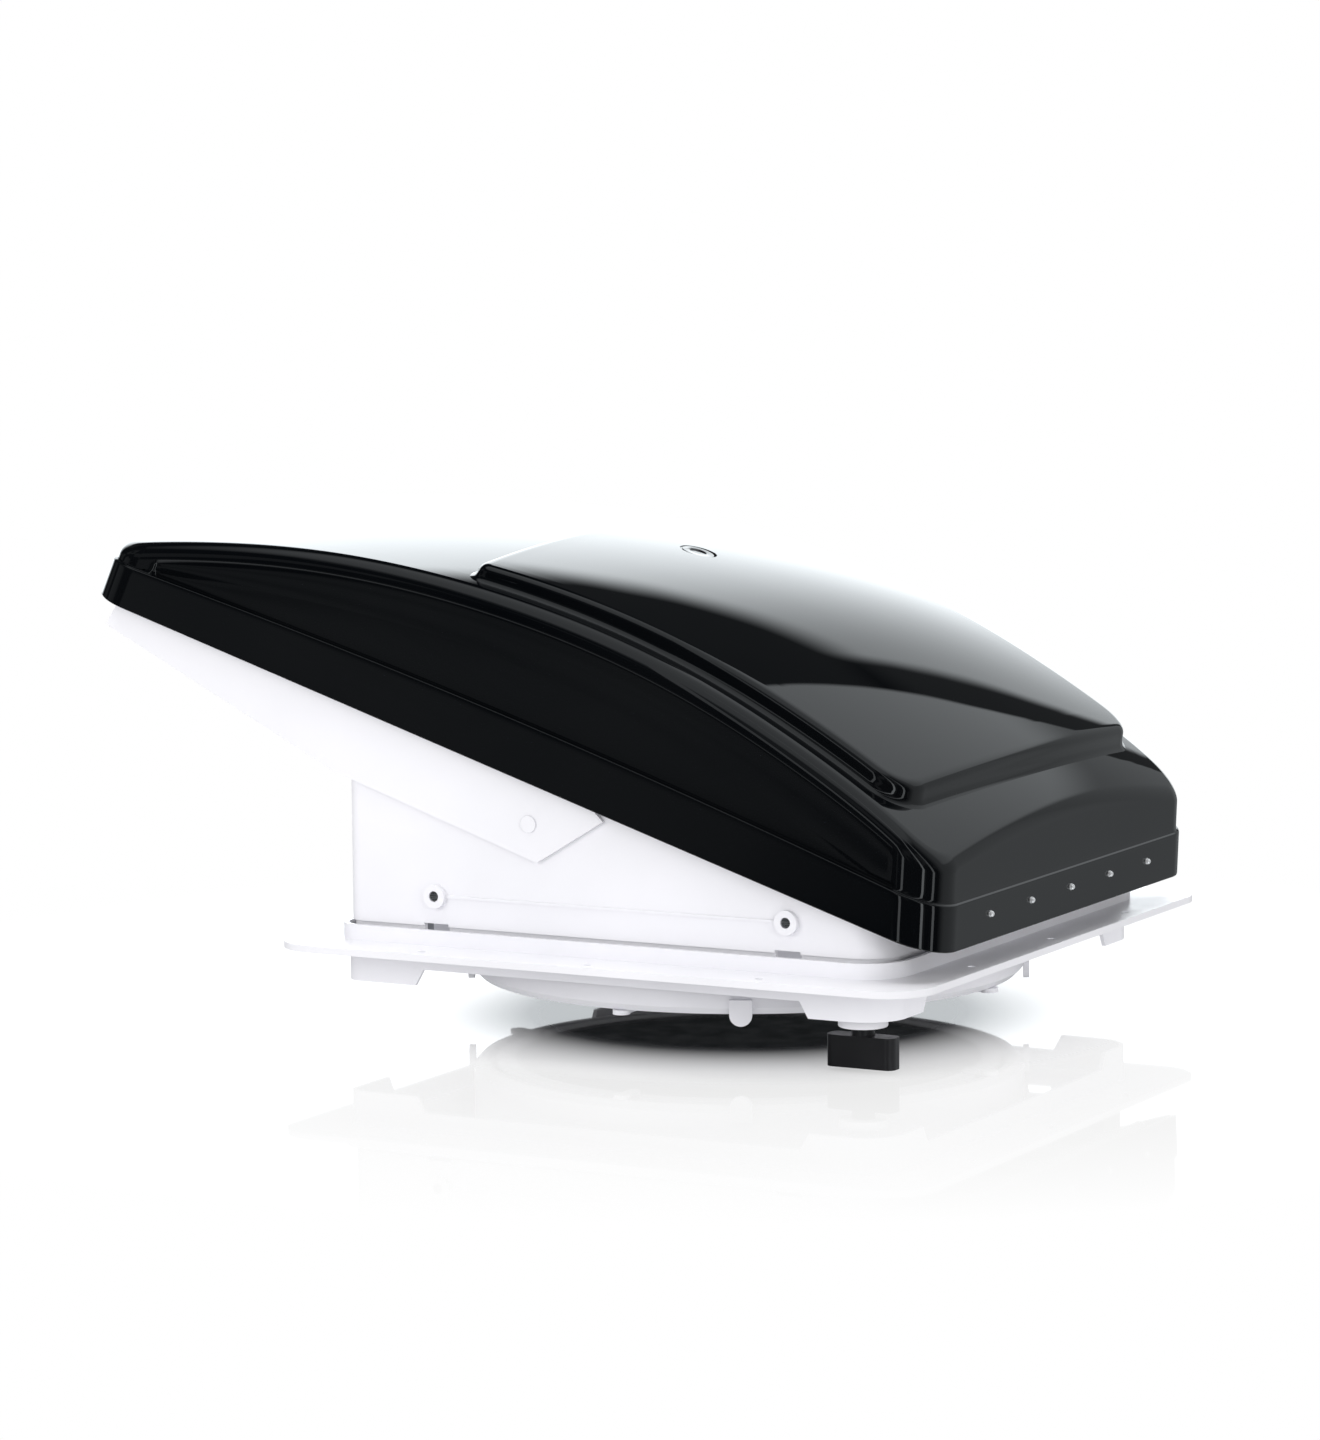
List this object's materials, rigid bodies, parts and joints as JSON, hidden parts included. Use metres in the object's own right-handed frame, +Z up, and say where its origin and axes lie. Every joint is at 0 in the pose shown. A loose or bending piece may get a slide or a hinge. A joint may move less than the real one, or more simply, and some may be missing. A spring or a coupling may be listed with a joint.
{
  "type": "roof vent cover",
  "caption": "Square roof vent for a caravan: flanged base with fan ring and crank knob, and a smoke lid hinged open over a white rain shield.",
  "frame": {"origin": "centre of the roof flange's underside, on the roof surface", "axes": "+Z up out of the roof, +X towards the lid's hinge, +Y across the vent"},
  "size_m": [0.5569, 0.413, 0.2928],
  "materials": {
    "white_plastic": "satin moulded white plastic",
    "smoke_lid": "glossy dark smoke plastic",
    "black_plastic": "satin black plastic",
    "grey_plastic": "matt grey plastic",
    "button_plastic": "soft-touch button",
    "fan_plastic": "moulded fan blade plastic",
    "black_rubber": "soft sealing rubber",
    "steel": "plated screw steel",
    "zinc": "zinc plated sheet steel",
    "painted_steel": "powder coated steel",
    "motor_case": "black painted motor can",
    "chrome": "polished rivet heads",
    "brass": "cut brass teeth",
    "screen_mesh": "woven insect mesh",
    "board_green": "circuit board laminate"
  },
  "bodies": {
    "base": {"roof_flange": "white_plastic", "housing_seal": "black_rubber", "base_housing": "white_plastic", "housing_screws": "steel", "fan_deck": "white_plastic", "fan_ring": "white_plastic", "ring_screws": "steel", "motor_bracket": "painted_steel", "bracket_screws": "steel", "fan_motor": "motor_case", "motor_screws": "steel", "screen_frame": "white_plastic", "insect_screen": "screen_mesh", "control_box": "grey_plastic", "circuit_board": "board_green", "thermostat_sensor": "grey_plastic", "wire_grommet": "black_rubber", "hinge_base_leaf": "zinc", "hinge_screws": "steel", "hinge_pin": "steel", "gearbox_case": "grey_plastic", "knob_bushing": "white_plastic", "shaft_hangers": "grey_plastic", "shield_pivot_pins": "white_plastic"},
    "lid": {"lid_shell": "smoke_lid", "hinge_lid_leaf": "zinc", "lid_rivets": "chrome", "lift_track": "zinc", "track_screws": "steel"},
    "shield": {"rain_shield": "white_plastic"},
    "lift": {"lift_shaft": "steel", "worm_wheel": "brass", "lift_arm": "zinc", "lift_pin": "steel"},
    "crank": {"worm_shaft": "steel", "lift_knob": "black_plastic"},
    "fan": {"fan_rotor": "fan_plastic", "fan_shaft": "steel", "fan_nut": "steel"},
    "latch_1": {"screen_latch_1": "white_plastic"},
    "latch_2": {"screen_latch_2": "white_plastic"},
    "latch_3": {"screen_latch_3": "white_plastic"},
    "latch_4": {"screen_latch_4": "white_plastic"},
    "button_1": {"keypad_button_1": "button_plastic"},
    "button_2": {"keypad_button_2": "button_plastic"},
    "button_3": {"keypad_button_3": "button_plastic"}
  },
  "joints": [
    {"name": "lid_hinge", "type": "hinge", "parent": "base", "child": "lid", "pos_m": [0.198, 0, 0.0226], "axis": [0, 1, 0], "range_deg": [-18, 0]},
    {"name": "rain_shield_pivot", "type": "hinge", "parent": "base", "child": "shield", "pos_m": [-0.05, 0, 0.078], "axis": [0, 1, 0], "range_deg": [-30.1, 0.1]},
    {"name": "lift_arm_turn", "type": "hinge", "parent": "base", "child": "lift", "pos_m": [0.121, 0, 0.048], "axis": [0, 1, 0], "range_deg": [-28.9, 0.1]},
    {"name": "crank_turn", "type": "hinge", "parent": "base", "child": "crank", "pos_m": [0.148, -0.1475, -0.027], "axis": [0, 0, 1], "range_deg": [-692, 1]},
    {"name": "fan_spin", "type": "hinge", "parent": "base", "child": "fan", "pos_m": [0, 0, 0.005], "axis": [0, 0, 1], "continuous": true},
    {"name": "screen_latch_turn_1", "type": "hinge", "parent": "base", "child": "latch_1", "pos_m": [0.157, 0, -0.027], "axis": [0, 0, 1], "range_deg": [0, 90]},
    {"name": "screen_latch_turn_2", "type": "hinge", "parent": "base", "child": "latch_2", "pos_m": [0, 0.157, -0.027], "axis": [0, 0, 1], "range_deg": [0, 90]},
    {"name": "screen_latch_turn_3", "type": "hinge", "parent": "base", "child": "latch_3", "pos_m": [-0.157, 0, -0.027], "axis": [0, 0, 1], "range_deg": [0, 90]},
    {"name": "screen_latch_turn_4", "type": "hinge", "parent": "base", "child": "latch_4", "pos_m": [0, -0.157, -0.027], "axis": [0, 0, 1], "range_deg": [0, 90]},
    {"name": "keypad_press_1", "type": "slide", "parent": "base", "child": "button_1", "axis": [0, 0, 1], "range_m": [0, 0.0012], "stiffness_N_per_m": 400},
    {"name": "keypad_press_2", "type": "slide", "parent": "base", "child": "button_2", "axis": [0, 0, 1], "range_m": [0, 0.0012], "stiffness_N_per_m": 400},
    {"name": "keypad_press_3", "type": "slide", "parent": "base", "child": "button_3", "axis": [0, 0, 1], "range_m": [0, 0.0012], "stiffness_N_per_m": 400}
  ],
  "couplings": [
    {"joint": "rain_shield_pivot", "follows": "lid_hinge", "ratio": 1.6667},
    {"joint": "lift_arm_turn", "follows": "lid_hinge", "ratio": 1.6},
    {"joint": "crank_turn", "follows": "lid_hinge", "ratio": 38.4}
  ]
}
